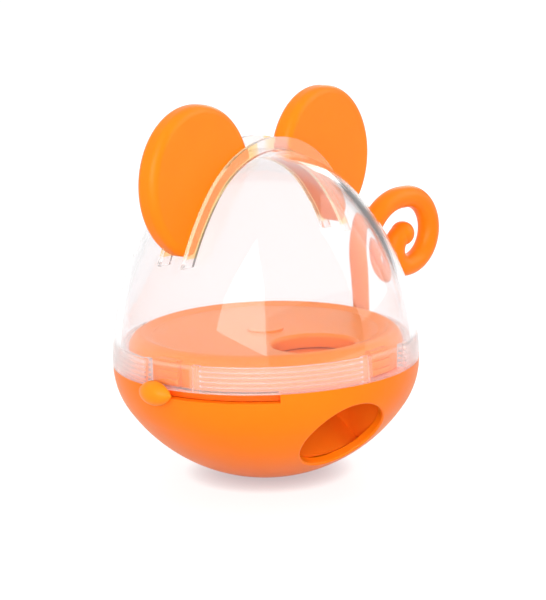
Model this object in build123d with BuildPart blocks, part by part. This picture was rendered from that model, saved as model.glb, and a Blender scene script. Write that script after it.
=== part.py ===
from build123d import *
from math import acos, asin, atan2, cos, degrees, radians, sin, sqrt
import os

# A mouse-shaped roly-poly treat dispenser for cats. Sizes are millimetres, angles are degrees.
# +Z is up. The origin is the centre of the flat land that the toy rests on. The nose slider
# faces -Y, the treat outlet faces about +X and the tail stands at about +Y.

# Bowl: two tangent arcs, a side arc under the rim and a bottom arc centred on the axis
body_radius = 40.0
bowl_depth = 31.0
bowl_side_radius = 20.5
bowl_wall = 2.2
land_radius = 7.0
rim_ring_width = 5.6
rim_ring_height = 3.0

# Treat outlet in the bowl, square to the bottom arc
outlet_angle = -12.0
outlet_dip = 40.7
outlet_radius = 11.65
outlet_edge_round = 0.5

# Counterweight in the bottom of the bowl
weight_height = 9.0
weight_chamfer = 0.8
weight_clearance = 0.3
weight_ring_wall = 1.4
weight_ring_height = 4.0
weight_ring_lap = 0.2

# Chute tray over the counterweight, with its screws
tray_thickness = 1.6
tray_gap = 0.1
tray_clearance = 0.12
chute_wall = 1.4
chute_clearance = 0.2
chute_top_gap = 0.6
chute_back_gap = 2.05
ramp_top_drop = 8.4
boss_edge = 2.9
boss_radius = 3.2
boss_angles = (48.0, 168.0, 288.0)
screw_head_radius = 2.5
screw_head_height = 1.8
screw_core_radius = 1.08
screw_hole_radius = 1.4
screw_bite = 4.0
pilot_clearance = 0.02

# Clear dome: a side arc centred on the parting plane and a tip arc centred on the axis
dome_side_radius = 66.6
dome_tip_radius = 31.0
dome_wall = 2.0
skirt_height = 6.4

# Ribs inside the dome's skirt, in segments that end in posts, and lugs on the partition between them
window_count = 4
window_turn = 4.4
window_width = 20.8
post_width = 2.8
rib_depth = 1.4
rib_count = 5
rib_pitch = 1.25
rib_height = 0.7
rib_first = 0.75
rib_web = 0.5
lug_width = 11.0
lug_turn = -2.3
lug_block = 1.0
lug_reach = 0.5
lug_base = 0.5
lug_height = 6.3
lug_ridges = 3
lug_ridge_height = 1.1

# Partition that floors the treat chamber
partition_gap = 0.9
partition_wall = 2.4
partition_height = 8.2
partition_shoulder = 3.5
dish_depth = 0.8
dish_lip = 6.2
floor_thickness = 2.2
hub_radius = 4.7
hub_height = 0.5
treat_inner = 10.6
treat_edge_round = 1.1
treat_neck_wall = 1.4
treat_neck_gap = 0.5
hook_angles = (50.0, 150.0, 225.0)
hook_width = 12.0
hook_thickness = 1.4
hook_reach = 1.1
hook_drop = 2.0
hook_gap = 0.25

# Rotary shutter under the partition, its pivot, its slider and its nose knob
shutter_drop = 3.9
shutter_thickness = 1.5
shutter_gap = 0.3
shutter_side_gap = 0.7
shutter_travel = 43.0
shutter_ring = 2.6
shutter_hub_radius = 9.5
shutter_seal = 2.0
window_sweep = 66.0
window_corner = 1.5
pivot_radius = 2.5
pivot_boss_radius = 5.0
pivot_clearance = 0.05
pivot_end_play = 0.15
washer_radius = 5.2
washer_thickness = 0.8
pivot_screw_bite = 4.4
nose_angle = -90.0
slot_height = 2.2
slot_end_gap = 0.7
slot_wall = 1.8
shield_thickness = 1.0
shield_gap = 0.4
shield_lap = 2.0
arm_gap = 0.2
arm_width = 5.0
arm_leg = 3.0
peg_radius = 0.9
nose_width = 11.2
nose_height = 6.3
nose_gap = 0.45
nose_drop = 1.25
nose_grip = 1.8
push_fit = 0.05

# Ears: part discs that stand in raised channels on the dome
ear_angle = -85.5
ear_radius = 19.0
ear_lean = 45.0
ear_stand = 5.5
ear_thickness = 6.0
ear_round = 2.2
ear_corner = 2.6
ear_seat_gap = 0.1
channel_wall = 1.2
channel_height = 3.1
channel_gap = 0.15
channel_foot = 0.7
channel_root = 1.0

# Tail: a peg and an elbow at the bowl, a tapered stem, and an inward curl that ends in a ball
tail_angle = 92.5
tail_heading = 86.0
tail_stand = 3.7
tail_drop = 7.0
tail_elbow = 3.2
tail_base_radius = 2.2
tail_rod_radius = 3.05
tail_stem_rise = 19.9
tail_bend_radius = 14.5
tail_crest = 1.7
tail_loop_radius = 9.75
tail_curl_radius = 4.7
tail_curl_sweep = 165.0
tail_ball_radius = 3.4
tail_hole_clearance = 0.05
tail_boss_radius = 4.5
tail_boss_face = 6.0
tail_seat_gap = 0.2
tail_screw_head_radius = 3.2
tail_screw_bite = 7.0


# Geometry that several pieces share
bottom_radius = (body_radius**2 - 2 * body_radius * bowl_side_radius + bowl_depth**2) / (
    2 * (bowl_depth - bowl_side_radius)
)
land_sag = bottom_radius - sqrt(bottom_radius**2 - land_radius**2)
rim_z = bowl_depth - land_sag
bottom_centre_z = bottom_radius - land_sag
side_centre = body_radius - bowl_side_radius
bowl_blend = degrees(atan2(rim_z - bottom_centre_z, side_centre))

dome_centre = dome_side_radius - body_radius
tip_centre_z = rim_z + sqrt((dome_side_radius - dome_tip_radius) ** 2 - dome_centre**2)
dome_blend = degrees(atan2(tip_centre_z - rim_z, dome_centre))

ring_inner = body_radius - rim_ring_width
rib_inner = body_radius - dome_wall - rib_depth
partition_radius = rib_inner - partition_gap
cavity_radius = partition_radius - partition_wall
floor_top = rim_z + partition_height - dish_depth
floor_under = floor_top - floor_thickness
shutter_top = floor_top - shutter_drop
shutter_under = shutter_top - shutter_thickness
hook_inner = ring_inner - hook_gap - hook_thickness
shutter_radius = min(cavity_radius, hook_inner) - shutter_side_gap
treat_radius = (cavity_radius - treat_neck_wall - treat_neck_gap - treat_inner) / 2
treat_offset = treat_inner + treat_radius
tray_z = bowl_wall + weight_height + tray_gap
tray_top = tray_z + tray_thickness
chute_half = outlet_radius + chute_clearance
chute_outer = chute_half + chute_wall
chute_centre = washer_radius + chute_back_gap + chute_outer
slot_play = degrees((arm_width / 2 + slot_end_gap) / body_radius)
shield_outer = body_radius - slot_wall - shield_gap
shield_inner = shield_outer - shield_thickness
shield_sweep = shutter_travel + slot_play + shield_lap
ear_offset = (dome_tip_radius + ear_stand) * cos(radians(ear_lean))
ear_z = tip_centre_z + (dome_tip_radius + ear_stand) * sin(radians(ear_lean))
tail_offset = body_radius + tail_stand


def meridian(angle, centre_x=0.0, centre_y=0.0):
    """Upright plane through the given centre: local X points out at the angle, local Y is +Z."""
    a = radians(angle)
    return Plane(origin=(centre_x, centre_y, 0), x_dir=(cos(a), sin(a), 0), z_dir=(sin(a), -cos(a), 0))


def level(z, angle=0.0):
    """Horizontal plane at height z with its local X turned to the angle."""
    a = radians(angle)
    return Plane(origin=(0, 0, z), x_dir=(cos(a), sin(a), 0), z_dir=(0, 0, 1))


def outward(angle, distance, z):
    """Upright plane that faces away from the axis, at a distance from it; local Y is +Z."""
    a = radians(angle)
    return Plane(
        origin=(distance * cos(a), distance * sin(a), z), x_dir=(-sin(a), cos(a), 0), z_dir=(cos(a), sin(a), 0)
    )


def bowl_start(inset, z):
    """Angle on the bottom arc, moved inwards by inset, at height z."""
    return degrees(asin((z - bottom_centre_z) / (bottom_radius - inset)))


def bowl_arcs(inset, z):
    """Section of the bowl, moved inwards by inset, from height z up to the rim."""
    start = bowl_start(inset, z)
    CenterArc((0, bottom_centre_z), bottom_radius - inset, start, bowl_blend - start)
    CenterArc((side_centre, rim_z), bowl_side_radius - inset, bowl_blend, -bowl_blend)


def bowl_width(inset, z):
    """Radius where the inset bottom arc stands at height z."""
    return sqrt((bottom_radius - inset) ** 2 - (bottom_centre_z - z) ** 2)


def bowl_height(inset, r):
    """Height of the inset bottom arc at radius r."""
    return bottom_centre_z - sqrt((bottom_radius - inset) ** 2 - r**2)


tray_edge = bowl_width(bowl_wall + tray_clearance, tray_z)
boss_circle_radius = tray_edge - boss_edge
weight_ring_inner = boss_circle_radius - boss_radius - weight_ring_wall + weight_ring_lap
weight_radius = weight_ring_inner - weight_clearance


def dome_arcs(inset):
    """Section of the dome, moved inwards by inset, from the parting plane to its tip."""
    CenterArc((-dome_centre, rim_z), dome_side_radius - inset, 0, dome_blend)
    CenterArc((0, tip_centre_z), dome_tip_radius - inset, dome_blend, 90 - dome_blend)


def arch_arcs(inset, z):
    """The dome's section from side to side over the tip, moved inwards by inset, above height z."""
    side = dome_side_radius - inset
    low = degrees(asin((z - rim_z) / side))
    CenterArc((-dome_centre, rim_z), side, low, dome_blend - low)
    CenterArc((0, tip_centre_z), dome_tip_radius - inset, dome_blend, 180 - 2 * dome_blend)
    CenterArc((dome_centre, rim_z), side, 180 - dome_blend, dome_blend - low)


def arch_foot(inset, z):
    """Radius of the dome's section, moved inwards by inset, at height z on its side arc."""
    return sqrt((dome_side_radius - inset) ** 2 - (z - rim_z) ** 2) - dome_centre


# Bowl: moulded shell with a thick rim, the slider's slot, the outlet, screw bosses and the tail socket
with BuildPart() as bowl:
    with BuildSketch(Plane.XZ):
        with BuildLine():
            Line((0, 0), (land_radius, 0))
            bowl_arcs(0, 0)
            Line((body_radius, rim_z), (body_radius - bowl_wall, rim_z))
            bowl_arcs(bowl_wall, bowl_wall)
            Polyline((bowl_width(bowl_wall, bowl_wall), bowl_wall), (0, bowl_wall), (0, 0))
        make_face()
    revolve(axis=Axis.Z)
    with BuildSketch(Plane.XZ):
        with Locations((ring_inner, rim_z)):
            Rectangle(rim_ring_width - bowl_wall / 2, rim_ring_height, align=(Align.MIN, Align.MAX))
    revolve(axis=Axis.Z)
    weight_ring_foot = bowl_height(bowl_wall / 2, weight_ring_inner)
    with BuildSketch(Plane.XZ):
        with Locations((weight_ring_inner, weight_ring_foot)):
            Rectangle(weight_ring_wall, weight_ring_height, align=Align.MIN)
    revolve(axis=Axis.Z)
    boss_foot = bowl_height(bowl_wall / 2, boss_circle_radius)
    for angle in boss_angles:
        with BuildSketch(level(boss_foot, angle)):
            with Locations((boss_circle_radius, 0)):
                Circle(boss_radius)
        extrude(amount=tray_z - boss_foot)
        with BuildSketch(level(tray_z, angle)):
            with Locations((boss_circle_radius, 0)):
                Circle(screw_core_radius + pilot_clearance)
        extrude(amount=-screw_bite, mode=Mode.SUBTRACT)
    tail_peg_z = rim_z - tail_drop
    tail_socket_face = body_radius - tail_boss_face
    tail_wall_middle = side_centre + sqrt((bowl_side_radius - bowl_wall / 2) ** 2 - tail_drop**2)
    with BuildSketch(outward(tail_angle, tail_socket_face, tail_peg_z)):
        Circle(tail_boss_radius)
    extrude(amount=tail_wall_middle - tail_socket_face)
    with BuildSketch(Plane.XZ):
        with BuildLine():
            bowl_arcs(0, 0)
            Polyline((body_radius, rim_z), (0, rim_z), (0, 0), (land_radius, 0))
        make_face()
    revolve(axis=Axis.Z, mode=Mode.INTERSECT)
    with BuildSketch(outward(tail_angle, tail_socket_face, tail_peg_z)):
        Circle(tail_base_radius + tail_hole_clearance)
    extrude(amount=tail_boss_face + tail_drop, mode=Mode.SUBTRACT)
    with BuildSketch(meridian(nose_angle - slot_play)):
        with Locations((ring_inner / 2, rim_z)):
            Rectangle(body_radius, slot_height, align=(Align.MIN, Align.MAX))
    revolve(axis=Axis.Z, revolution_arc=shutter_travel + 2 * slot_play, mode=Mode.SUBTRACT)
    groove_start = shield_sweep + shield_lap
    with BuildSketch(meridian(nose_angle - groove_start)):
        with Locations((shield_inner - shield_gap, rim_z)):
            Rectangle(shield_thickness + 2 * shield_gap, slot_height, align=(Align.MIN, Align.MAX))
    revolve(axis=Axis.Z, revolution_arc=shutter_travel + 2 * groove_start, mode=Mode.SUBTRACT)
    outlet_plane = Plane(
        origin=(0, 0, bottom_centre_z),
        x_dir=(-sin(radians(outlet_angle)), cos(radians(outlet_angle)), 0),
        z_dir=(
            cos(radians(outlet_angle)) * cos(radians(outlet_dip)),
            sin(radians(outlet_angle)) * cos(radians(outlet_dip)),
            -sin(radians(outlet_dip)),
        ),
    )
    outlet_inside = sqrt((bottom_radius - 2 * bowl_wall) ** 2 - outlet_radius**2)
    with BuildSketch(outlet_plane.offset(outlet_inside - bowl_wall)):
        Circle(outlet_radius)
    extrude(amount=bottom_radius - outlet_inside + 2 * bowl_wall, mode=Mode.SUBTRACT)
    outlet_edges = bowl.edges(Select.LAST).filter_by(GeomType.LINE, reverse=True)
    fillet(outlet_edges.sort_by(Axis(outlet_plane.origin, outlet_plane.z_dir))[-1], outlet_edge_round)

# Counterweight: a turned steel slug whose underside follows the bowl
with BuildPart() as counterweight:
    slug_inset = bowl_wall + weight_clearance / 2
    slug_start = bowl_start(slug_inset, bowl_wall)
    slug_end = -degrees(acos(weight_radius / (bottom_radius - slug_inset)))
    slug_top = bowl_wall + weight_height
    with BuildSketch(Plane.XZ):
        with BuildLine():
            Line((0, bowl_wall), (bowl_width(slug_inset, bowl_wall), bowl_wall))
            CenterArc((0, bottom_centre_z), bottom_radius - slug_inset, slug_start, slug_end - slug_start)
            Polyline(
                (weight_radius, bowl_height(slug_inset, weight_radius)),
                (weight_radius, slug_top - weight_chamfer),
                (weight_radius - weight_chamfer, slug_top),
                (0, slug_top),
                (0, bowl_wall),
            )
        make_face()
    revolve(axis=Axis.Z)


def chute_outline(half_width, mode=Mode.ADD):
    """Plan of the chute: a half round behind the treat hole and straight sides out to the bowl."""
    with Locations((chute_centre, 0)):
        Circle(half_width, mode=mode)
        Rectangle(body_radius, 2 * half_width, align=(Align.MIN, Align.CENTER), mode=mode)


# Chute tray: covers the counterweight and slopes down from under the treat hole to the outlet
with BuildPart() as chute_tray:
    chute_top = shutter_under - chute_top_gap
    ramp_start = chute_centre - chute_outer
    ramp_inset = bowl_wall + tray_clearance
    outlet_low = radians(outlet_dip) + asin(outlet_radius / bottom_radius)
    ramp_end = (bottom_radius - ramp_inset) * cos(outlet_low)
    ramp_low = bottom_centre_z - (bottom_radius - ramp_inset) * sin(outlet_low) + tray_thickness
    ramp_high = rim_z - ramp_top_drop
    ramp_slope = (ramp_high - ramp_low) / (ramp_end - ramp_start)
    ramp_over = bowl_wall
    chute_reach = min(ring_inner, cavity_radius) - tray_clearance
    tray_low = (bowl_wall + tray_z) / 2
    with BuildSketch(meridian(outlet_angle)):
        with BuildLine():
            Polyline(
                (ramp_start, ramp_high),
                (ramp_end + ramp_over, ramp_low - ramp_over * ramp_slope),
                (ramp_end + ramp_over, ramp_low - ramp_over * ramp_slope - tray_thickness),
                (ramp_start, ramp_high - tray_thickness),
                close=True,
            )
        make_face()
    extrude(amount=chute_outer, both=True)
    with BuildSketch(level(0, outlet_angle)):
        chute_outline(chute_outer)
    extrude(amount=rim_z, mode=Mode.INTERSECT)
    with BuildSketch(level(tray_z, outlet_angle)):
        chute_outline(chute_outer)
        chute_outline(chute_half, mode=Mode.SUBTRACT)
    extrude(amount=chute_top - tray_z)
    with BuildSketch(level(tray_z, outlet_angle)):
        Circle(tray_edge)
        chute_outline(chute_half, mode=Mode.SUBTRACT)
    extrude(amount=tray_thickness)
    with BuildSketch(Plane.XZ):
        with BuildLine():
            bowl_arcs(ramp_inset, tray_low)
            Polyline(
                (body_radius - ramp_inset, rim_z),
                (body_radius - ramp_inset, chute_top),
                (0, chute_top),
                (0, tray_low),
                (bowl_width(ramp_inset, tray_low), tray_low),
            )
        make_face()
    revolve(axis=Axis.Z, mode=Mode.INTERSECT)
    with BuildSketch(Plane.XZ):
        with Locations((chute_reach, rim_z - rim_ring_height - tray_clearance)):
            Rectangle(body_radius, body_radius, align=Align.MIN)
    revolve(axis=Axis.Z, mode=Mode.SUBTRACT)
    for angle in boss_angles:
        with BuildSketch(level(tray_z, angle)):
            with Locations((boss_circle_radius, 0)):
                Circle(screw_hole_radius)
        extrude(amount=tray_thickness, mode=Mode.SUBTRACT)

# Tray screws: three alike, driven down into the bowl's bosses
with BuildPart() as tray_screws:
    for angle in boss_angles:
        with BuildSketch(level(tray_top, angle)):
            with Locations((boss_circle_radius, 0)):
                Circle(screw_head_radius)
        extrude(amount=screw_head_height)
        with BuildSketch(level(tray_top, angle)):
            with Locations((boss_circle_radius, 0)):
                Circle(screw_core_radius)
        extrude(amount=-(tray_thickness + screw_bite - pilot_clearance))

# Partition: a dished floor with a round treat hole, a foot on the bowl's rim, ridged lugs and snap hooks
with BuildPart() as partition:
    rim_top = rim_z + partition_height
    lip_radius = partition_radius - partition_shoulder
    dish_radius = partition_radius - dish_lip
    shoulder_z = rim_top - partition_shoulder
    with BuildSketch(Plane.XZ):
        with BuildLine():
            Polyline((cavity_radius, rim_z), (partition_radius, rim_z), (partition_radius, shoulder_z))
            CenterArc((lip_radius, shoulder_z), partition_shoulder, 0, 90)
            Polyline(
                (lip_radius, rim_top),
                (dish_radius, floor_top),
                (0, floor_top),
                (0, floor_under),
                (cavity_radius, floor_under),
                (cavity_radius, rim_z),
            )
        make_face()
    revolve(axis=Axis.Z)
    neck_end = shutter_top + shutter_gap
    with BuildSketch(level(neck_end, outlet_angle)):
        with Locations((treat_offset, 0)):
            Circle(treat_radius + treat_neck_wall)
    extrude(amount=floor_under - neck_end)
    with BuildSketch(level(neck_end, outlet_angle)):
        with Locations((treat_offset, 0)):
            Circle(treat_radius)
    extrude(amount=partition_height, mode=Mode.SUBTRACT)
    treat_edge = partition.edges().filter_by(GeomType.CIRCLE).filter_by(
        lambda edge: abs(edge.radius - treat_radius) < pilot_clearance
    )
    fillet(treat_edge.sort_by(Axis.Z)[-1], treat_edge_round)
    with BuildSketch(level(floor_top)):
        Circle(hub_radius)
    extrude(amount=hub_height)
    with BuildSketch(level(neck_end)):
        Circle(pivot_boss_radius)
    extrude(amount=floor_under - neck_end)
    pivot_end = shutter_under - pivot_end_play
    with BuildSketch(level(neck_end)):
        Circle(pivot_radius)
    extrude(amount=pivot_end - neck_end)
    with BuildSketch(level(pivot_end)):
        Circle(screw_core_radius + pilot_clearance)
    extrude(amount=pivot_screw_bite, mode=Mode.SUBTRACT)
    lug_root = cavity_radius + partition_wall / 2
    lug_face = partition_radius + lug_block
    lug_tip = rib_inner + lug_reach
    ridge_pitch = lug_height / lug_ridges
    for index in range(window_count):
        lug_middle = nose_angle + window_turn + lug_turn + index * 360 / window_count
        with BuildSketch(meridian(lug_middle - lug_width / 2)):
            with Locations((lug_root, rim_z + lug_base)):
                Rectangle(lug_face - lug_root, lug_height, align=Align.MIN)
            for ridge in range(lug_ridges):
                with Locations((lug_root, rim_z + lug_base + (ridge + 0.5) * ridge_pitch)):
                    Rectangle(lug_tip - lug_root, lug_ridge_height, align=(Align.MIN, Align.CENTER))
        revolve(axis=Axis.Z, revolution_arc=lug_width)
    hook_outer = hook_inner + hook_thickness
    hook_shelf = rim_z - rim_ring_height - hook_gap
    for hook_middle in hook_angles:
        with BuildSketch(meridian(hook_middle - hook_width / 2)):
            with BuildLine():
                Polyline(
                    (hook_inner, rim_z + partition_wall),
                    (lug_root, rim_z + partition_wall),
                    (lug_root, rim_z),
                    (hook_outer, rim_z),
                    (hook_outer, hook_shelf),
                    (hook_outer + hook_reach, hook_shelf),
                    (hook_outer, hook_shelf - hook_drop),
                    (hook_inner, hook_shelf - hook_drop),
                    close=True,
                )
            make_face()
        revolve(axis=Axis.Z, revolution_arc=hook_width)

# Shutter: a disc with a sector window that turns on the partition's pivot, and a leg with a peg
with BuildPart() as shutter:
    treat_half_angle = degrees(asin(treat_radius / treat_offset))
    window_end = outlet_angle - treat_half_angle - shutter_seal
    with BuildSketch(level(shutter_under)):
        Circle(shutter_radius)
        Circle(pivot_radius + pivot_clearance, mode=Mode.SUBTRACT)
    extrude(amount=shutter_thickness)
    with BuildSketch(meridian(window_end - window_sweep)):
        with Locations((shutter_hub_radius, shutter_under)):
            Rectangle(shutter_radius - shutter_ring - shutter_hub_radius, shutter_thickness, align=Align.MIN)
    revolve(axis=Axis.Z, revolution_arc=window_sweep, mode=Mode.SUBTRACT)
    window_edges = shutter.edges(Select.LAST).filter_by(Axis.Z)
    fillet(window_edges, window_corner)
    arm_low = rim_z - slot_height + arm_gap
    arm_top = rim_z - arm_gap
    leg_middle = shutter_radius - arm_leg / 2
    with BuildSketch(level(arm_top, nose_angle)):
        with Locations((leg_middle, 0)):
            Rectangle(arm_leg, arm_width)
    extrude(amount=shutter_under - arm_top)
    with BuildSketch(level(arm_low, nose_angle)):
        with Locations((leg_middle, 0)):
            Circle(peg_radius)
    extrude(amount=arm_top - arm_low)

# Slider: an arm from the shutter's peg out through the slot, and a curved shield behind the slot
with BuildPart() as slider:
    nose_inner = body_radius + nose_gap
    arm_inner = shutter_radius - arm_leg
    arm_end = nose_inner + nose_grip
    with BuildSketch(level(arm_low, nose_angle)):
        with Locations((arm_inner, 0)):
            Rectangle(arm_end - arm_inner, arm_width, align=(Align.MIN, Align.CENTER))
        with Locations((leg_middle, 0)):
            Circle(peg_radius + push_fit, mode=Mode.SUBTRACT)
    extrude(amount=arm_top - arm_low)
    with BuildSketch(meridian(nose_angle - shield_sweep)):
        with Locations((shield_inner, arm_low)):
            Rectangle(shield_thickness, arm_top - arm_low, align=Align.MIN)
    revolve(axis=Axis.Z, revolution_arc=2 * shield_sweep)

# Nose knob: half a spindle with its tips along the slot, pushed onto the end of the slider's arm
with BuildPart() as nose_knob:
    nose_plane = outward(nose_angle, nose_inner, rim_z - nose_drop)
    with BuildSketch(nose_plane):
        with BuildLine():
            SagittaArc((-nose_width / 2, 0), (nose_width / 2, 0), nose_height / 2)
            Line((-nose_width / 2, 0), (nose_width / 2, 0))
        make_face()
    revolve(axis=Axis(nose_plane.origin, nose_plane.x_dir))
    split(bisect_by=nose_plane, keep=Keep.TOP)
    arm_middle = (arm_low + arm_top) / 2
    with BuildSketch(outward(nose_angle, nose_inner, arm_middle)):
        Rectangle(arm_width + 2 * push_fit, arm_top - arm_low + 2 * push_fit)
    extrude(amount=nose_grip, mode=Mode.SUBTRACT)

# Pivot washer and screw: they keep the shutter on the partition's pivot
washer_low = pivot_end - washer_thickness
with BuildPart() as pivot_washer:
    with BuildSketch(level(washer_low)):
        Circle(washer_radius)
        Circle(screw_hole_radius, mode=Mode.SUBTRACT)
    extrude(amount=washer_thickness)

with BuildPart() as pivot_screw:
    with BuildSketch(level(washer_low)):
        Circle(screw_head_radius)
    extrude(amount=-screw_head_height)
    with BuildSketch(level(washer_low)):
        Circle(screw_core_radius)
    extrude(amount=washer_thickness + pivot_screw_bite - pilot_clearance)

# Dome: clear shell with ribs and posts in its skirt and a raised channel over its tip for the ears
with BuildPart() as dome:
    with BuildSketch(Plane.XZ):
        with BuildLine():
            dome_arcs(0)
            dome_arcs(dome_wall)
            Line((body_radius - dome_wall, rim_z), (body_radius, rim_z))
            Line((0, tip_centre_z + dome_tip_radius - dome_wall), (0, tip_centre_z + dome_tip_radius))
        make_face()
    revolve(axis=Axis.Z)
    segment_width = 360 / window_count - window_width
    skirt_middle = arch_foot(dome_wall / 2, rim_z + skirt_height)
    for index in range(window_count):
        window_middle = nose_angle + window_turn + index * 360 / window_count
        with BuildSketch(meridian(window_middle + window_width / 2)):
            with Locations((skirt_middle, rim_z)):
                Rectangle(skirt_middle - rib_inner - rib_depth + rib_web, skirt_height, align=(Align.MAX, Align.MIN))
            for rib in range(rib_count):
                with Locations((skirt_middle, rim_z + rib_first + rib * rib_pitch)):
                    Rectangle(skirt_middle - rib_inner, rib_height, align=(Align.MAX, Align.CENTER))
        revolve(axis=Axis.Z, revolution_arc=segment_width)
        for post_start in (window_middle + window_width / 2, window_middle - window_width / 2 - post_width):
            with BuildSketch(meridian(post_start)):
                with Locations((skirt_middle, rim_z)):
                    Rectangle(skirt_middle - rib_inner, skirt_height, align=(Align.MAX, Align.MIN))
            revolve(axis=Axis.Z, revolution_arc=post_width)
    channel_z = ear_z - ear_radius - channel_foot
    channel_inner = ear_thickness / 2 + channel_gap
    for side in (-1, 1):
        with BuildSketch(meridian(ear_angle).offset(side * channel_inner)):
            with BuildLine():
                arch_arcs(-channel_height, channel_z)
                arch_arcs(channel_root, channel_z)
                for end in (-1, 1):
                    Line(
                        (end * arch_foot(-channel_height, channel_z), channel_z),
                        (end * arch_foot(channel_root, channel_z), channel_z),
                    )
            make_face()
        extrude(amount=side * channel_wall)


def ear_block(angle):
    """A round ear in the upright plane at the angle, with a rounded rim, cut off along the dome."""
    with BuildPart() as block:
        with BuildSketch(meridian(angle)):
            with Locations((ear_offset, ear_z)):
                Circle(ear_radius)
        extrude(amount=ear_thickness / 2, both=True)
        fillet(block.edges().filter_by(GeomType.CIRCLE), ear_round)
        with BuildSketch(meridian(angle)) as outline:
            with Locations((ear_offset, ear_z)):
                Circle(ear_radius)
            with BuildLine():
                arch_arcs(-ear_seat_gap, rim_z)
                seat_foot = arch_foot(-ear_seat_gap, rim_z)
                Line((-seat_foot, rim_z), (seat_foot, rim_z))
            make_face(mode=Mode.SUBTRACT)
            corners = outline.vertices().sort_by(Axis.Y)
            fillet((corners[0], corners[-1]), ear_corner)
        extrude(amount=ear_thickness / 2, both=True, mode=Mode.INTERSECT)
    return block.part


ear_front = ear_block(ear_angle)
ear_back = ear_block(ear_angle + 180)

# Tail: swept rod; its peg passes through the bowl's wall and its curl leans a little off the radius
with BuildPart() as tail:
    a = radians(tail_angle)
    stem_x = tail_offset * cos(a)
    stem_y = tail_offset * sin(a)
    peg_start = tail_socket_face + tail_seat_gap
    stem_foot = tail_peg_z + tail_elbow
    stem_top = rim_z + tail_stem_rise
    crest_z = stem_top + tail_bend_radius
    with BuildLine(meridian(tail_angle)) as root_path:
        Line((peg_start, tail_peg_z), (tail_offset - tail_elbow, tail_peg_z))
        CenterArc((tail_offset - tail_elbow, stem_foot), tail_elbow, -90, 90)
    with BuildSketch(outward(tail_angle, peg_start, tail_peg_z)):
        Circle(tail_base_radius)
    sweep(path=root_path.line)
    with BuildSketch(Plane.XY.offset(stem_foot)):
        with Locations((stem_x, stem_y)):
            Circle(tail_base_radius)
    with BuildSketch(Plane.XY.offset(stem_top)):
        with Locations((stem_x, stem_y)):
            Circle(tail_rod_radius)
    loft()
    loop_u = tail_bend_radius + tail_crest
    loop_z = crest_z - tail_loop_radius
    curl_z = loop_z - tail_loop_radius + tail_curl_radius
    curl_end = 270 - tail_curl_sweep
    with BuildLine(meridian(tail_heading, stem_x, stem_y)) as curl_path:
        CenterArc((tail_bend_radius, stem_top), tail_bend_radius, 180, -90)
        Line((tail_bend_radius, crest_z), (loop_u, crest_z))
        CenterArc((loop_u, loop_z), tail_loop_radius, 90, -180)
        CenterArc((loop_u, curl_z), tail_curl_radius, 270, -tail_curl_sweep)
    with BuildSketch(Plane.XY.offset(stem_top)):
        with Locations((stem_x, stem_y)):
            Circle(tail_rod_radius)
    sweep(path=curl_path.line)
    ball_u = loop_u + tail_curl_radius * cos(radians(curl_end))
    ball_z = curl_z + tail_curl_radius * sin(radians(curl_end))
    ball_x = stem_x + ball_u * cos(radians(tail_heading))
    ball_y = stem_y + ball_u * sin(radians(tail_heading))
    with Locations((ball_x, ball_y, ball_z)):
        Sphere(tail_ball_radius)
    with BuildSketch(outward(tail_angle, peg_start, tail_peg_z)):
        Circle(screw_core_radius + pilot_clearance)
    extrude(amount=tail_screw_bite, mode=Mode.SUBTRACT)

# Tail screw: holds the tail's peg against the bowl from inside
with BuildPart() as tail_screw:
    with BuildSketch(outward(tail_angle, tail_socket_face, tail_peg_z)):
        Circle(tail_screw_head_radius)
    extrude(amount=-screw_head_height)
    with BuildSketch(outward(tail_angle, tail_socket_face, tail_peg_z)):
        Circle(screw_core_radius)
    extrude(amount=tail_seat_gap + tail_screw_bite - pilot_clearance)

pieces = {
    "bowl": bowl.part,
    "counterweight": counterweight.part,
    "chute_tray": chute_tray.part,
    "tray_screws": tray_screws.part,
    "partition": partition.part,
    "shutter": shutter.part,
    "slider": slider.part,
    "nose_knob": nose_knob.part,
    "pivot_washer": pivot_washer.part,
    "pivot_screw": pivot_screw.part,
    "dome": dome.part,
    "ear_front": ear_front,
    "ear_back": ear_back,
    "tail": tail.part,
    "tail_screw": tail_screw.part,
}
os.makedirs("parts", exist_ok=True)
for name, piece in pieces.items():
    piece.label = name
    export_step(piece, f"parts/{name}.step")
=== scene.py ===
import math

import bmesh
import bpy
import numpy as np
from mathutils import Matrix, Vector


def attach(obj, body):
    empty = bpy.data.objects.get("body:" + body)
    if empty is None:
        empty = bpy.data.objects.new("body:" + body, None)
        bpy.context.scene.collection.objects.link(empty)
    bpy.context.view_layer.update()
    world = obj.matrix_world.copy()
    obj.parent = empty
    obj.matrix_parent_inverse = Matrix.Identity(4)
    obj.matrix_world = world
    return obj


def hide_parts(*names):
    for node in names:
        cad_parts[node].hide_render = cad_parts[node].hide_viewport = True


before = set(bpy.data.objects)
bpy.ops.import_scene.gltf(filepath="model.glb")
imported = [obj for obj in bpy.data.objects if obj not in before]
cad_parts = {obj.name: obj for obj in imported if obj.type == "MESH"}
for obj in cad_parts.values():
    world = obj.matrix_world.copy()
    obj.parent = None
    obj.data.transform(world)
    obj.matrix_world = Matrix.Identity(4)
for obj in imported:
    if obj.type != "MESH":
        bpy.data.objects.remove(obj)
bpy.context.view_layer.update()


# Bowl: the lower half, injection moulded in orange ABS with a satin face. The outlet and the
# slider's slot are moulded in, and the weight sits in its bottom.
def new_finish(name):
    """A new material and its shader."""
    material = bpy.data.materials.new(name)
    material.use_nodes = True
    return material, material.node_tree.nodes["Principled BSDF"]


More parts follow.
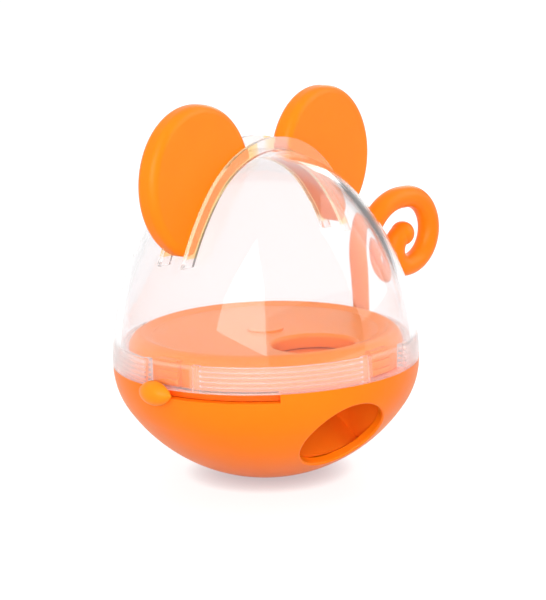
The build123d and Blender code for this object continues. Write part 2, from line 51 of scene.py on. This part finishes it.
def cloud(tree, scale, detail):
    """Smooth noise from 0 to 1 in the piece's own space, with as many swells to a metre as the scale."""
    place = tree.nodes.new("ShaderNodeTexCoord")
    noise = tree.nodes.new("ShaderNodeTexNoise")
    noise.inputs["Scale"].default_value = scale
    noise.inputs["Detail"].default_value = detail
    tree.links.new(place.outputs["Object"], noise.inputs["Vector"])
    return noise.outputs["Fac"]


def between(tree, value, low, high, start=0.0, end=1.0):
    """Goes evenly from low to high while the value goes from start to end, and no further."""
    spread = tree.nodes.new("ShaderNodeMapRange")
    spread.inputs["From Min"].default_value = start
    spread.inputs["From Max"].default_value = end
    spread.inputs["To Min"].default_value = low
    spread.inputs["To Max"].default_value = high
    tree.links.new(value, spread.inputs["Value"])
    return spread.outputs["Result"]


def raise_grain(tree, shader, height, strength, depth):
    """Tilts the shader's normal as a relief of this height and depth would, at this strength."""
    bump = tree.nodes.new("ShaderNodeBump")
    bump.inputs["Strength"].default_value = strength
    bump.inputs["Distance"].default_value = depth
    tree.links.new(height, bump.inputs["Height"])
    tree.links.new(bump.outputs["Normal"], shader.inputs["Normal"])


def moulded_plastic(name, light, deep, roughness, grain, glow):
    """Satin plastic: a slow cloud of two close colours, gloss that varies in small patches about the
    roughness, a fine moulded grain, and a share of the light that glows through from inside."""
    gloss_below, gloss_above, grain_depth = 0.05, 0.07, 0.00005
    deep_until, light_from = 0.3, 0.7
    material, shader = new_finish(name)
    tree = material.node_tree
    tint = tree.nodes.new("ShaderNodeValToRGB")
    for stop, position, colour in zip(tint.color_ramp.elements, (deep_until, light_from), (deep, light)):
        stop.position = position
        stop.color = (*colour, 1.0)
    tree.links.new(cloud(tree, scale=38.0, detail=3.0), tint.inputs["Fac"])
    tree.links.new(tint.outputs["Color"], shader.inputs["Base Color"])
    patches = cloud(tree, scale=160.0, detail=4.0)
    gloss = between(tree, patches, roughness - gloss_below, roughness + gloss_above)
    tree.links.new(gloss, shader.inputs["Roughness"])
    raise_grain(tree, shader, cloud(tree, scale=2200.0, detail=2.0), strength=grain, depth=grain_depth)
    shader.inputs["IOR"].default_value = 1.46
    shader.inputs["Specular IOR Level"].default_value = 0.18
    shader.inputs["Subsurface Weight"].default_value = glow
    shader.inputs["Subsurface Radius"].default_value = (1.0, 0.35, 0.1)
    shader.inputs["Subsurface Scale"].default_value = 0.002
    return material


def finish_node(node, material):
    """Gives a CAD node's object one material."""
    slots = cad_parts[node].data.materials
    slots.clear()
    slots.append(material)


bowl_abs = moulded_plastic(
    "bowl_abs", light=(0.98, 0.211, 0.004), deep=(0.96, 0.192, 0.003), roughness=0.36, grain=0.12, glow=0.12)
finish_node("bowl", bowl_abs)


# Counterweight and screws: a turned steel slug under the tray, and zinc-plated screws and washer.
# They are shut in between the bowl and the partition.
def plated_steel(name, colour, roughness, rings):
    """Turned steel: fine tool rings about the upright axis, in the roughness and as a relief."""
    gloss_below, gloss_above = 0.06, 0.08
    material, shader = new_finish(name)
    tree = material.node_tree
    place = tree.nodes.new("ShaderNodeTexCoord")
    turning = tree.nodes.new("ShaderNodeTexWave")
    turning.wave_type = "RINGS"
    turning.rings_direction = "Z"
    turning.inputs["Scale"].default_value = rings
    turning.inputs["Distortion"].default_value = 1.5
    tree.links.new(place.outputs["Object"], turning.inputs["Vector"])
    gloss = between(tree, turning.outputs["Fac"], roughness - gloss_below, roughness + gloss_above)
    tree.links.new(gloss, shader.inputs["Roughness"])
    raise_grain(tree, shader, turning.outputs["Fac"], strength=0.15, depth=0.00005)
    shader.inputs["Base Color"].default_value = (*colour, 1.0)
    shader.inputs["Metallic"].default_value = 1.0
    return material


turned_steel = plated_steel("turned_steel", colour=(0.48, 0.48, 0.49), roughness=0.34, rings=700.0)
finish_node("counterweight", turned_steel)
zinc_plate = plated_steel("zinc_plate", colour=(0.66, 0.67, 0.70), roughness=0.28, rings=1400.0)
for fastener in ("tray_screws", "pivot_washer", "pivot_screw", "tail_screw"):
    finish_node(fastener, zinc_plate)


# Chute tray: a plain moulding in the same orange that covers the weight and leads to the outlet.
# It is screwed down to the bowl's bosses.
tray_abs = moulded_plastic(
    "tray_abs", light=(0.95, 0.189, 0.009), deep=(0.93, 0.172, 0.007), roughness=0.45, grain=0.2, glow=0.1)
finish_node("chute_tray", tray_abs)


# Partition: the dished floor of the treat chamber, orange ABS, clipped to the bowl's rim.
# Its lugs stand in the windows of the dome's skirt.
partition_abs = moulded_plastic(
    "partition_abs", light=(0.98, 0.264, 0.021), deep=(0.96, 0.242, 0.017),
    roughness=0.32, grain=0.15, glow=0.12)
finish_node("partition", partition_abs)


# Shutter, slider and nose knob: a flat disc that turns under the partition, the arm that is pegged to
# it and passes through the slot, and the amber button pushed onto the arm's end. All are ABS mouldings.
shutter_abs = moulded_plastic(
    "shutter_abs", light=(0.98, 0.205, 0.005), deep=(0.96, 0.182, 0.004), roughness=0.4, grain=0.15, glow=0.1)
finish_node("shutter", shutter_abs)
# The slider's deeper, redder orange is painted shade: it darkens the slider where it shows in the slot.
slider_abs_painted_shade = moulded_plastic(
    "slider_abs_painted_shade", light=(0.96, 0.146, 0.009), deep=(0.92, 0.13, 0.007), roughness=0.42, grain=0.15, glow=0.1)
finish_node("slider", slider_abs_painted_shade)
knob_abs = moulded_plastic(
    "knob_abs", light=(0.98, 0.265, 0.008), deep=(0.96, 0.243, 0.005), roughness=0.34, grain=0.08, glow=0.15)
finish_node("nose_knob", knob_abs)


# Dome: an egg-shaped shell of clear styrene with a polished face, pushed over the partition's lugs. The
# ribbed segments of its skirt are a little milky, the windows between them are clear, and two raised
# channels over its tip hold the ears.
rim_height = 0.0304378
skirt_top = 0.0370
dome_wall = 0.002
body_radius = 0.04
side_radius = 0.0666
tip_radius = 0.031
ring_radius = side_radius - body_radius
tip_rise = math.sqrt((side_radius - tip_radius) ** 2 - ring_radius ** 2)
quarter_turn = math.pi / 2
window_turn = math.radians(-85.6)
window_sweep = math.radians(20.8)
ledge_height = 0.0008
lip_height = 0.0009
skirt_fade = 0.0003


def plug(tree, value, socket):
    """Links another node's output to a socket, or sets the socket to a number or an opaque colour."""
    if isinstance(value, bpy.types.NodeSocket):
        tree.links.new(value, socket)
    else:
        socket.default_value = (*value, 1.0) if isinstance(value, tuple) else value


def reckon(tree, operation, *values):
    """The result of one operation on numbers and other nodes' outputs."""
    total = tree.nodes.new("ShaderNodeMath")
    total.operation = operation
    for value, socket in zip(values, total.inputs):
        plug(tree, value, socket)
    return total.outputs["Value"]


def mixed_colour(tree, share, first, second):
    """The first colour where the share is 0, the second where it is 1, and a mixture between."""
    mixture = tree.nodes.new("ShaderNodeMix")
    mixture.data_type = "RGBA"
    plug(tree, share, mixture.inputs["Factor"])
    plug(tree, first, mixture.inputs["A"])
    plug(tree, second, mixture.inputs["B"])
    return mixture.outputs["Result"]


def face_mark(tree, label):
    """A value that is written on the piece's own faces."""
    mark = tree.nodes.new("ShaderNodeAttribute")
    mark.attribute_name = label
    return mark.outputs["Fac"]


def milky_skirt(tree):
    """1 on the milky parts of the skirt and 0 elsewhere. They lie below its top, in the ribbed segments, on
    the ledge under the top and on the lip at the rim. The angle round Z is counted in quarter turns, so that
    each window's middle falls half way between two whole quarters, and what is far from there is ribbed."""
    half_way = 0.5
    place = tree.nodes.new("ShaderNodeTexCoord")
    axes = tree.nodes.new("ShaderNodeSeparateXYZ")
    tree.links.new(place.outputs["Object"], axes.inputs["Vector"])
    height = axes.outputs["Z"]
    turn = reckon(tree, "ARCTAN2", axes.outputs["Y"], axes.outputs["X"])
    quarters = reckon(tree, "MULTIPLY_ADD", turn, 1 / quarter_turn, half_way - window_turn / quarter_turn)
    past_whole = reckon(tree, "FRACT", quarters)
    off_window = reckon(tree, "ABSOLUTE", reckon(tree, "SUBTRACT", past_whole, half_way))
    ribbed = reckon(tree, "GREATER_THAN", off_window, window_sweep / quarter_turn / 2)
    ledge = reckon(tree, "GREATER_THAN", height, skirt_top - ledge_height)
    lip = reckon(tree, "LESS_THAN", height, rim_height + lip_height)
    framed = reckon(tree, "MAXIMUM", ribbed, reckon(tree, "MAXIMUM", ledge, lip))
    below_top = between(tree, height, 0.0, 1.0, start=skirt_top, end=skirt_top - skirt_fade)
    return reckon(tree, "MULTIPLY", below_top, framed)


def clear_styrene(name):
    """Polished clear plastic. Its milky parts pass less light, are rougher and have a pink white, which is
    painted
    light: the orange inside glowing through them. Faces marked with wall_haze pass less by that share, and
    the faces beside the ears take the ears' orange, a painted glow of the ears seen through the clear walls."""
    clear_share, milky_share = 0.982, 0.87
    polished, frosted, ripple_gloss = 0.02, 0.17, 0.03
    # The pink of the milky white and the orange by the ears are painted light, not the plastic's own colours:
    # the orange inside and the ears showing through.
    clear_white, milky_painted_pink, painted_ear_orange = (0.946, 0.928, 0.934), (1.0, 0.9, 0.88), (1.0, 0.72, 0.33)
    material, shader = new_finish(name)
    tree = material.node_tree
    milky = milky_skirt(tree)
    passed = between(tree, milky, clear_share, milky_share)
    hazed = reckon(tree, "SUBTRACT", passed, face_mark(tree, "wall_haze"))
    tree.links.new(hazed, shader.inputs["Transmission Weight"])
    ripple = cloud(tree, scale=55.0, detail=2.0)
    gloss = reckon(tree, "MULTIPLY_ADD", ripple, ripple_gloss, between(tree, milky, polished, frosted))
    tree.links.new(gloss, shader.inputs["Roughness"])
    raise_grain(tree, shader, ripple, strength=0.006, depth=0.0002)
    white = mixed_colour(tree, milky, clear_white, milky_painted_pink)
    warmed = mixed_colour(tree, face_mark(tree, "painted_ear_glow"), white, painted_ear_orange)
    tree.links.new(warmed, shader.inputs["Base Color"])
    shader.inputs["IOR"].default_value = 1.49
    return material


def smooth_shell(name, node, crease):
    """A welded copy of a CAD node's mesh, smooth apart from edges sharper than the crease angle."""
    weld_reach = 2e-6
    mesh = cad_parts[node].data.copy()
    mesh.name = name
    if "custom_normal" in mesh.attributes:
        mesh.attributes.remove(mesh.attributes["custom_normal"])
    weld = bmesh.new()
    weld.from_mesh(mesh)
    bmesh.ops.remove_doubles(weld, verts=weld.verts, dist=weld_reach)
    weld.to_mesh(mesh)
    weld.free()
    mesh.shade_smooth()
    mesh.set_sharp_from_angle(angle=crease)
    shell = bpy.data.objects.new(name, mesh)
    bpy.context.scene.collection.objects.link(shell)
    return shell


def read_vectors(items, name):
    """One vector of each item of a mesh, as the rows of an array."""
    values = np.empty(len(items) * 3)
    items.foreach_get(name, values)
    return values.reshape(-1, 3)


def egg_arm(points):
    """The arm to each point from the centre of its arc of the egg, in the upright plane through the point:
    its run outwards, its rise, and how far it reaches past the arc. The egg's side is an arc about a ring
    inside the axis, and its tip is a ball that the side meets smoothly."""
    across, above = np.hypot(points[:, 0], points[:, 1]), points[:, 2] - rim_height
    on_tip = np.arctan2(above, across + ring_radius) > math.atan2(tip_rise, ring_radius)
    run = np.where(on_tip, across, across + ring_radius)
    rise = np.where(on_tip, above - tip_rise, above)
    return run, rise, np.hypot(run, rise) - np.where(on_tip, tip_radius, side_radius)


def mark_walls(shell, ear_reach, ear_lean, glow_radius, fade):
    """Writes two values on the faces that stand proud of the egg above its skirt: wall_haze, most on the
    channels' flat ends, which face down, and a painted ear glow, 1 beside an ear and 0 away from it, which
    paints the ears' orange seen through the walls. The glow ends over the fade past glow_radius from the
    ear's middle, which is ear_reach from the centre of the egg's tip, at the lean above the level."""
    proud, least_height, straight_down = 0.0001, 0.05, -0.95
    end_haze, side_haze = 0.6, 0.14
    faces = shell.data.polygons
    middle, facing = read_vectors(faces, "center"), read_vectors(faces, "normal")
    stands = (egg_arm(middle)[2] > proud) & (middle[:, 2] > least_height)
    ear_out, ear_up = ear_reach * math.cos(ear_lean), ear_reach * math.sin(ear_lean)
    across, over_tip = np.hypot(middle[:, 0], middle[:, 1]), middle[:, 2] - rim_height - tip_rise
    past_glow = np.hypot(across - ear_out, over_tip - ear_up) - glow_radius
    haze = np.where(facing[:, 2] < straight_down, end_haze, side_haze)
    glow = np.clip(1.0 - past_glow / fade, 0.0, 1.0)
    for label, value in (("wall_haze", haze), ("painted_ear_glow", glow)):
        mark = shell.data.attributes.new(label, "FLOAT", "FACE")
        mark.data.foreach_set("value", (value * stands).astype(np.float32))


def true_normals(shell, fit, agreement):
    """Turns the corner normals on the egg's outer and inner faces to the egg's own, along its arms, so that
    the shell bends light evenly. The inner face is the egg less the wall. A corner counts where it lies on
    a face to within the fit and its normal's cosine to the arm is over the agreement."""
    mesh = shell.data
    corner = np.empty(len(mesh.loops), dtype=np.int32)
    mesh.loops.foreach_get("vertex_index", corner)
    place, facing = read_vectors(mesh.vertices, "co")[corner], read_vectors(mesh.corner_normals, "vector")
    run, rise, past = egg_arm(place)
    turn = np.arctan2(place[:, 1], place[:, 0])
    way = np.stack([run * np.cos(turn), run * np.sin(turn), rise], axis=1) / np.hypot(run, rise)[:, None]
    along = (way * facing).sum(axis=1)
    on_egg = (np.abs(past) < fit) | (np.abs(past + dome_wall) < fit)
    lies = on_egg & (np.abs(along) > agreement)
    facing[lies] = way[lies] * np.sign(along[lies])[:, None]
    mesh.normals_split_custom_set(facing.tolist())


dome_shell = smooth_shell("dome_shell", "dome", crease=math.radians(25.0))
mark_walls(dome_shell, ear_reach=0.0365, ear_lean=math.radians(45.0), glow_radius=0.0186, fade=0.001)
true_normals(dome_shell, fit=2e-5, agreement=0.9)
dome_shell.data.materials.clear()
dome_shell.data.materials.append(clear_styrene("clear_styrene"))
dome_shell.visible_shadow = False
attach(dome_shell, "lid")
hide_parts("dome")

# Light crosses the dome's walls and channels many times before it leaves them.
bpy.context.scene.cycles.glossy_bounces = 16
bpy.context.scene.cycles.max_bounces = 24
bpy.context.scene.cycles.transmission_bounces = 24


# Ears: two solid discs of orange ABS, moulded with rounded edges. They are cut off along the dome and
# pushed into the channels over its tip.
ear_abs = moulded_plastic(
    "ear_abs", light=(0.98, 0.229, 0.005), deep=(0.96, 0.209, 0.004), roughness=0.33, grain=0.08, glow=0.12)
for ear in ("ear_front", "ear_back"):
    finish_node(ear, ear_abs)


# Tail: a bent and curled rod with a ball end, moulded in orange ABS. Its peg sits in the bowl's wall and
# is screwed from inside.
tail_abs = moulded_plastic(
    "tail_abs", light=(0.98, 0.217, 0.005), deep=(0.96, 0.198, 0.004), roughness=0.33, grain=0.08, glow=0.15)
finish_node("tail", tail_abs)


# Floor: a sheet of white paper under the toy that fades into the white surroundings. It keeps the toy's
# shadow, and where the bowl comes close to the paper a painted contact shadow darkens it, tinted pink as
# painted bounce light from the bowl.
def white_light(tree, diffuse_level):
    """Strength 1 to the camera, to mirrors and through clear plastic, and diffuse_level to the rest."""
    path = tree.nodes.new("ShaderNodeLightPath")
    seen = reckon(tree, "MAXIMUM", path.outputs["Is Camera Ray"], path.outputs["Is Glossy Ray"])
    shown = reckon(tree, "MAXIMUM", seen, path.outputs["Is Transmission Ray"])
    return between(tree, shown, diffuse_level, 1.0)


def floor_paper(name, painted_shadow_reach):
    """White paper that glows to the eye. It is grey and without glow to other light. The more it is closed in
    by what stands nearer than the given reach, the less it glows and the pinker: a painted contact shadow
    with painted pink bounce light."""
    pale_grey, deep_grey = (0.6, 0.6, 0.6), (0.24, 0.24, 0.24)
    painted_shadow_pink, white = (1.0, 0.86, 0.88), (1.0, 1.0, 1.0)
    painted_shadow_glow, open_glow = 0.5, 0.83
    material, shader = new_finish(name)
    tree = material.node_tree
    seen = white_light(tree, diffuse_level=0.0)
    tree.links.new(mixed_colour(tree, seen, pale_grey, deep_grey), shader.inputs["Base Color"])
    # Ambient occlusion paints a contact shadow into the glow and tints it pink.
    painted_contact_shadow = tree.nodes.new("ShaderNodeAmbientOcclusion")
    painted_contact_shadow.inputs["Distance"].default_value = painted_shadow_reach
    open_share = painted_contact_shadow.outputs["AO"]
    tree.links.new(mixed_colour(tree, open_share, painted_shadow_pink, white), shader.inputs["Emission Color"])
    glow = reckon(tree, "MULTIPLY", seen, between(tree, open_share, painted_shadow_glow, open_glow))
    tree.links.new(glow, shader.inputs["Emission Strength"])
    shader.inputs["Roughness"].default_value = 0.6
    shader.inputs["Specular IOR Level"].default_value = 0.2
    return material


floor_half = 3.0
floor_corners = [(-1, -1, 0), (1, -1, 0), (1, 1, 0), (-1, 1, 0)]
floor_mesh = bpy.data.meshes.new("floor_sheet")
floor_mesh.from_pydata((np.array(floor_corners) * floor_half).tolist(), [], [(0, 1, 2, 3)])
floor_mesh.materials.append(floor_paper("floor_paper", painted_shadow_reach=0.005))
floor = bpy.data.objects.new("floor_sheet", floor_mesh)
bpy.context.scene.collection.objects.link(floor)


# Surroundings: a white studio all round the toy. It is bright to the eye and through the clear dome, and
# softer as a light.
studio = bpy.data.worlds.new("white_studio")
studio.use_nodes = True
bpy.context.scene.world = studio
sky = studio.node_tree.nodes["Background"]
sky.inputs["Color"].default_value = (1.0, 1.0, 1.0, 1.0)
sky_light = white_light(studio.node_tree, diffuse_level=0.5)
studio.node_tree.links.new(sky_light, sky.inputs["Strength"])


# Lamps: large soft boxes high and low beside the camera, at the left, overhead, behind and low at the
# right. No mirror shows them.
def soft_box(name, place, aim, width, height, power):
    """A rectangular area lamp at a place, turned to its aim, that no mirror shows."""
    lamp = bpy.data.lights.new(name, "AREA")
    lamp.shape = "RECTANGLE"
    lamp.size = width
    lamp.size_y = height
    lamp.energy = power
    holder = bpy.data.objects.new(name, lamp)
    holder.location = place
    holder.rotation_euler = (Vector(aim) - Vector(place)).to_track_quat("-Z", "Y").to_euler()
    holder.visible_glossy = False
    holder.visible_transmission = False
    bpy.context.scene.collection.objects.link(holder)


soft_box("key_box", place=(0.5, -0.82, 0.55), aim=(0.0, 0.0, 0.05), width=0.9, height=0.85, power=5.3)
soft_box("left_box", place=(-0.75, -0.75, 0.3), aim=(0.0, 0.0, 0.04), width=0.6, height=0.5, power=2.0)
soft_box("side_box", place=(0.68, -0.64, 0.14), aim=(0.03, 0.0, 0.02), width=0.5, height=0.26, power=3.6)
soft_box("top_box", place=(0.0, 0.1, 1.2), aim=(0.0, 0.0, 0.05), width=0.8, height=0.8, power=3.2)
soft_box("back_box", place=(-0.45, 0.9, 0.4), aim=(0.0, 0.0, 0.04), width=0.8, height=0.6, power=2.6)
soft_box("right_box", place=(0.88, 0.3, 0.08), aim=(0.03, 0.01, 0.02), width=0.5, height=0.16, power=1.6)


# Cards: sheets round the toy that only mirrors see. They give the dome its reflections: a bright window,
# a highlight, a soft veil, a dim strip low in front, and a dark edge that also shows through the dome.
def mirror_card(name, turns, rises, strength, seen_through):
    """A glowing card one metre off, its corners at these turns from +X and rises in degrees, seen by
    mirrors and, where seen_through is true, through the clear dome."""
    turn, rise = np.radians(turns), np.radians(rises)
    corners = np.stack([np.cos(turn) * np.cos(rise), np.sin(turn) * np.cos(rise), np.sin(rise)], axis=1)
    mesh = bpy.data.meshes.new(name)
    mesh.from_pydata(corners.tolist(), [], [tuple(range(len(corners)))])
    material, shader = new_finish(name)
    shader.inputs["Base Color"].default_value = (0.0, 0.0, 0.0, 1.0)
    shader.inputs["Specular IOR Level"].default_value = 0.0
    shader.inputs["Emission Color"].default_value = (1.0, 1.0, 1.0, 1.0)
    shader.inputs["Emission Strength"].default_value = strength
    mesh.materials.append(material)
    card = bpy.data.objects.new(name, mesh)
    card.visible_camera = False
    card.visible_diffuse = False
    card.visible_transmission = seen_through
    card.visible_shadow = False
    bpy.context.scene.collection.objects.link(card)


mirror_card(
    "window_card", turns=(-84.0, -46.4, -47.0, -54.6, -80.0), rises=(15.0, 5.0, 36.0, 57.0, 30.0),
    strength=5.5, seen_through=False)
mirror_card(
    "light_card", turns=(103.0, 128.0, 128.0, 103.0), rises=(22.0, 14.0, 34.0, 38.0),
    strength=4.0, seen_through=False)
mirror_card(
    "dim_card", turns=(-45.0, 30.0, 30.0, -45.0), rises=(0.5, 0.5, 22.0, 22.0),
    strength=0.05, seen_through=False)
mirror_card(
    "veil_card", turns=(28.0, 68.0, 68.0, 28.0), rises=(10.0, 10.0, 48.0, 48.0),
    strength=2.7, seen_through=False)
mirror_card(
    "dark_card", turns=(89.0, 113.0, 113.0, 101.0, 101.0, 89.0), rises=(4.5, 4.5, 18.0, 20.0, 29.0, 29.0),
    strength=0.25, seen_through=True)


# Camera: the photograph's angle, from between the nose and the outlet and a little above, with a slight
# roll. It aims at the middle of the rim, and the lens is shifted to frame the toy.
azimuth, elevation, roll = math.radians(43.0), math.radians(13.45), math.radians(1.74)
distance = 0.5
across_view = Vector((math.cos(azimuth), math.sin(azimuth), 0.0))
towards = Vector((math.sin(azimuth), -math.cos(azimuth), 0.0))
back = towards * math.cos(elevation) + Vector((0.0, 0.0, math.sin(elevation)))
up = back.cross(across_view)
side = across_view * math.cos(roll) - up * math.sin(roll)
top = across_view * math.sin(roll) + up * math.cos(roll)
eye = Vector((0.0, 0.0, rim_height)) + back * distance
lens = bpy.data.cameras.new("photo_lens")
lens.lens = 114.5
lens.sensor_width = 36.0
lens.shift_x = 0.0115
lens.shift_y = 0.0947
camera = bpy.data.objects.new("photo_camera", lens)
camera.matrix_world = Matrix((
    (side.x, top.x, back.x, eye.x),
    (side.y, top.y, back.y, eye.y),
    (side.z, top.z, back.z, eye.z),
    (0.0, 0.0, 0.0, 1.0),
))
bpy.context.scene.collection.objects.link(camera)
bpy.context.scene.camera = camera
bpy.context.scene.view_settings.view_transform = "Standard"
